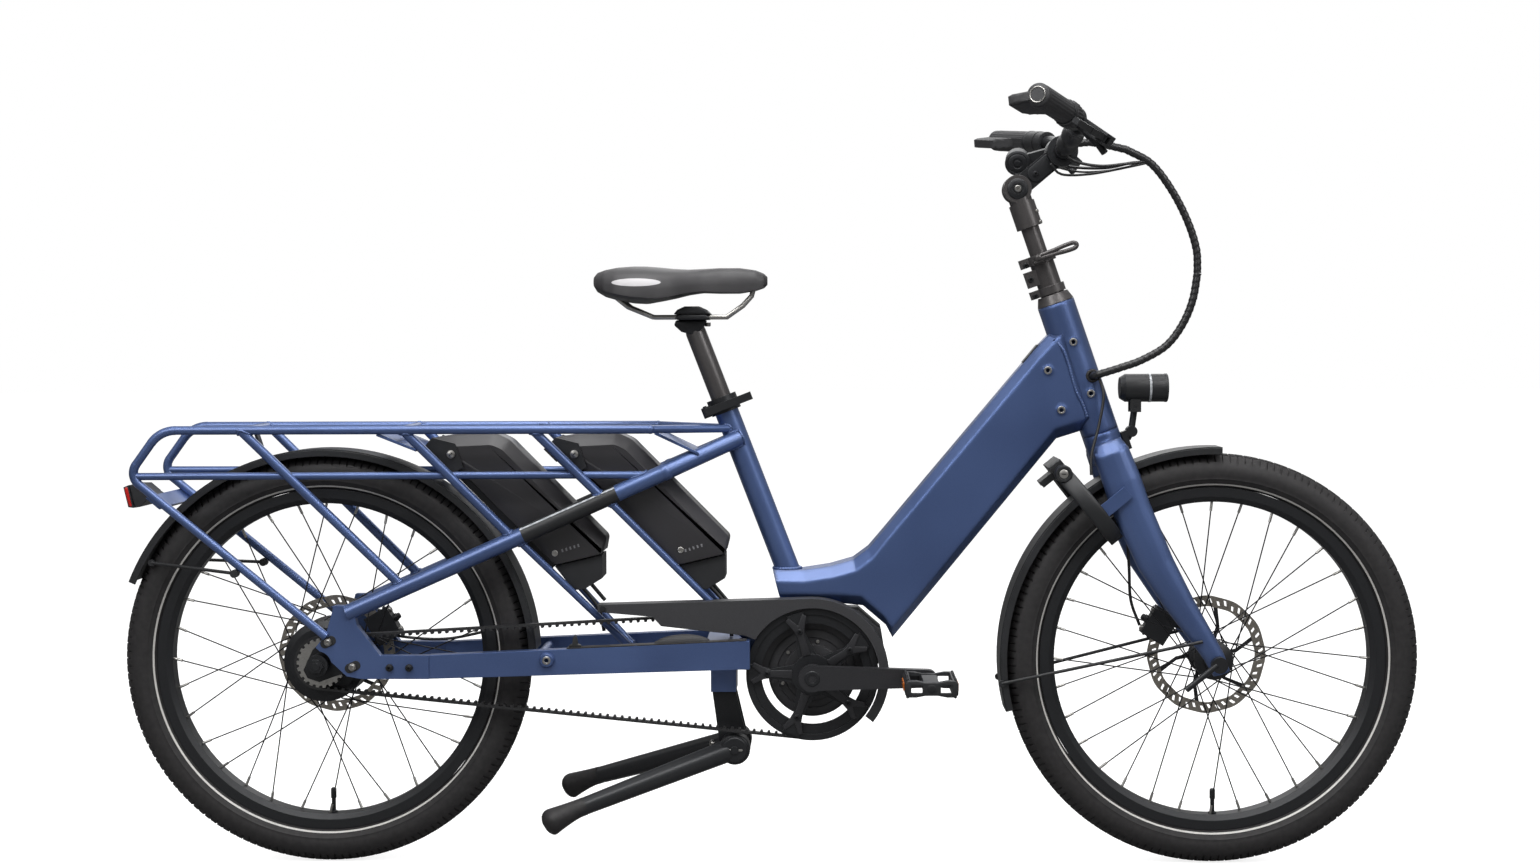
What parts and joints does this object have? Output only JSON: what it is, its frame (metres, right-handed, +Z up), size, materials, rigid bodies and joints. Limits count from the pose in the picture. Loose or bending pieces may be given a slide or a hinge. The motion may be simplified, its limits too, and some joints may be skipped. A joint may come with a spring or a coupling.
{
  "type": "cargo bicycle",
  "caption": "Longtail electric cargo bicycle with a low step-through frame, long rear rack, belt drive, frame batteries, adjustable stem and seat, double-leg stand and lights.",
  "frame": {"origin": "on the ground, half way along and in the middle plane", "axes": "+X forward, +Z up, +Y to the rider's left"},
  "size_m": [1.9489, 0.719, 1.1318],
  "materials": {
    "frame_blue": "satin metallic blue",
    "black_metal": "satin black",
    "black_plastic": "fine grain, satin black",
    "grey_plastic": "fine grain dark grey",
    "steel": "brushed",
    "tyre_black": "moulded tread",
    "grip_rubber": "soft matt",
    "belt_rubber": "toothed",
    "saddle_cover": "matt synthetic cover",
    "light_red": "clear red lens"
  },
  "bodies": {
    "frame": {"head_tube": "frame_blue", "down_tube": "frame_blue", "seat_tube": "frame_blue", "rear_stays": "frame_blue", "rack": "frame_blue", "drive_unit": "grey_plastic", "belt_guard": "grey_plastic", "belt": "belt_rubber", "rear_fender": "black_plastic", "stand_tower": "black_metal", "battery_docks": "black_plastic", "headset_bearings": "steel", "seat_clamp": "black_metal", "rear_axle": "black_metal", "rear_caliper": "black_metal", "tail_light": "light_red", "frame_bolts": "steel", "cable_bundle": "black_plastic"},
    "steering": {"fork": "frame_blue", "front_axle": "black_metal", "front_fender": "black_plastic", "front_fender_stays": "black_metal", "front_caliper": "black_metal", "ring_lock": "black_plastic", "headlight_arm": "black_metal", "stem_clamp": "black_metal"},
    "front_wheel": {"front_tyre": "tyre_black", "front_rim": "black_metal", "front_spokes": "steel", "front_hub": "black_metal", "front_disc": "steel"},
    "rear_wheel": {"rear_tyre": "tyre_black", "rear_rim": "black_metal", "rear_spokes": "steel", "rear_hub": "black_metal", "rear_disc": "steel"},
    "rear_drive": {"rear_pulley": "steel"},
    "crankset": {"cranks": "black_metal", "front_pulley": "black_metal"},
    "right_pedal": {"right_pedal": "black_plastic"},
    "left_pedal": {"left_pedal": "black_plastic"},
    "lock_bar": {"lock_shackle": "steel"},
    "headlight": {"headlight": "black_plastic"},
    "stem_lever": {"stem_lever": "black_metal"},
    "stem": {"stem_post": "black_metal"},
    "bar": {"stem_arm": "black_metal", "handlebar": "black_metal", "grips": "grip_rubber", "bar_controls": "black_plastic"},
    "shifter": {"twist_shifter": "grey_plastic"},
    "right_brake": {"right_brake_lever": "black_metal"},
    "left_brake": {"left_brake_lever": "black_metal"},
    "seat": {"seatpost": "black_metal", "saddle": "saddle_cover", "saddle_rails": "steel"},
    "seat_lever": {"seat_lever": "black_metal"},
    "stand": {"stand_legs": "black_metal"},
    "rear_battery": {"rear_battery": "black_plastic"},
    "front_battery": {"front_battery": "black_plastic"},
    "mode_button": {"control_button": "black_plastic"}
  },
  "joints": [
    {"name": "steering_turn", "type": "hinge", "parent": "frame", "child": "steering", "pos_m": [0.62156, 0, 0.2932], "axis": [-0.3256, 0, 0.9455], "range_deg": [-35, 35], "deforming": ["cable_bundle"]},
    {"name": "front_wheel_spin", "type": "hinge", "parent": "steering", "child": "front_wheel", "pos_m": [0.666, 0, 0.3085], "axis": [0, 1, 0], "continuous": true},
    {"name": "rear_wheel_spin", "type": "hinge", "parent": "frame", "child": "rear_wheel", "pos_m": [-0.666, 0, 0.3085], "axis": [0, 1, 0], "continuous": true},
    {"name": "crank_spin", "type": "hinge", "parent": "frame", "child": "crankset", "pos_m": [0.067, 0, 0.292], "axis": [0, 1, 0], "continuous": true, "deforming": ["belt"]},
    {"name": "rear_drive_spin", "type": "hinge", "parent": "frame", "child": "rear_drive", "pos_m": [-0.666, 0, 0.3085], "axis": [0, 1, 0], "continuous": true, "deforming": ["belt"]},
    {"name": "right_pedal_spin", "type": "hinge", "parent": "crankset", "child": "right_pedal", "pos_m": [0.237, -0.15, 0.292], "axis": [0, 1, 0], "continuous": true},
    {"name": "left_pedal_spin", "type": "hinge", "parent": "crankset", "child": "left_pedal", "pos_m": [-0.103, 0.15, 0.292], "axis": [0, 1, 0], "continuous": true},
    {"name": "lock_bar_turn", "type": "hinge", "parent": "steering", "child": "lock_bar", "pos_m": [0.4772, 0, 0.54164], "axis": [0.7771, 0, 0.6293], "range_deg": [0, 66]},
    {"name": "headlight_tilt", "type": "hinge", "parent": "steering", "child": "headlight", "pos_m": [0.551, 0, 0.687], "axis": [0, 1, 0], "range_deg": [-15, 15]},
    {"name": "stem_lever_swing", "type": "hinge", "parent": "steering", "child": "stem_lever", "pos_m": [0.40427, -0.031, 0.90583], "axis": [-0.3256, 0, 0.9455], "range_deg": [-100, 0]},
    {"name": "stem_height", "type": "slide", "parent": "steering", "child": "stem", "axis": [-0.3256, 0, 0.9455], "range_m": [-0.034, 0.04], "deforming": ["cable_bundle"]},
    {"name": "bar_tilt", "type": "hinge", "parent": "stem", "child": "bar", "pos_m": [0.37413, 0, 1.01179], "axis": [0, 1, 0], "range_deg": [-20, 35], "deforming": ["cable_bundle"]},
    {"name": "shift_twist", "type": "hinge", "parent": "bar", "child": "shifter", "pos_m": [0.42043, -0.23089, 1.10281], "axis": [-0.4035, -0.9092, 0.1022], "range_deg": [-75, 75]},
    {"name": "right_brake_pull", "type": "hinge", "parent": "bar", "child": "right_brake", "pos_m": [0.47266, -0.21822, 1.06947], "axis": [-0.5582, 0.1562, -0.8149], "range_deg": [0, 8], "stiffness_Nm_per_rad": 8},
    {"name": "left_brake_pull", "type": "hinge", "parent": "bar", "child": "left_brake", "pos_m": [0.47266, 0.21822, 1.06947], "axis": [0.5582, 0.1562, 0.8149], "range_deg": [0, 8], "stiffness_Nm_per_rad": 8},
    {"name": "seat_height", "type": "slide", "parent": "frame", "child": "seat", "axis": [-0.3584, 0, 0.9336], "range_m": [-0.08, 0.06]},
    {"name": "seat_lever_swing", "type": "hinge", "parent": "frame", "child": "seat_lever", "pos_m": [-0.08972, -0.025, 0.6804], "axis": [-0.3584, 0, 0.9336], "range_deg": [-100, 0]},
    {"name": "stand_fold", "type": "hinge", "parent": "frame", "child": "stand", "pos_m": [-0.049, 0, 0.178], "axis": [0, -1, 0], "range_deg": [0, 120]},
    {"name": "rear_battery_tilt", "type": "hinge", "parent": "frame", "child": "rear_battery", "pos_m": [-0.246, 0, 0.47], "axis": [0, 1, 0], "range_deg": [0, 6]},
    {"name": "front_battery_tilt", "type": "hinge", "parent": "frame", "child": "front_battery", "pos_m": [-0.062, 0, 0.47], "axis": [0, 1, 0], "range_deg": [0, 6]},
    {"name": "mode_button_press", "type": "slide", "parent": "frame", "child": "mode_button", "axis": [0.7666, 0, -0.6422], "range_m": [0, 0.0012], "stiffness_N_per_m": 800}
  ],
  "couplings": [
    {"joint": "rear_drive_spin", "follows": "crank_spin", "ratio": 2.5}
  ]
}
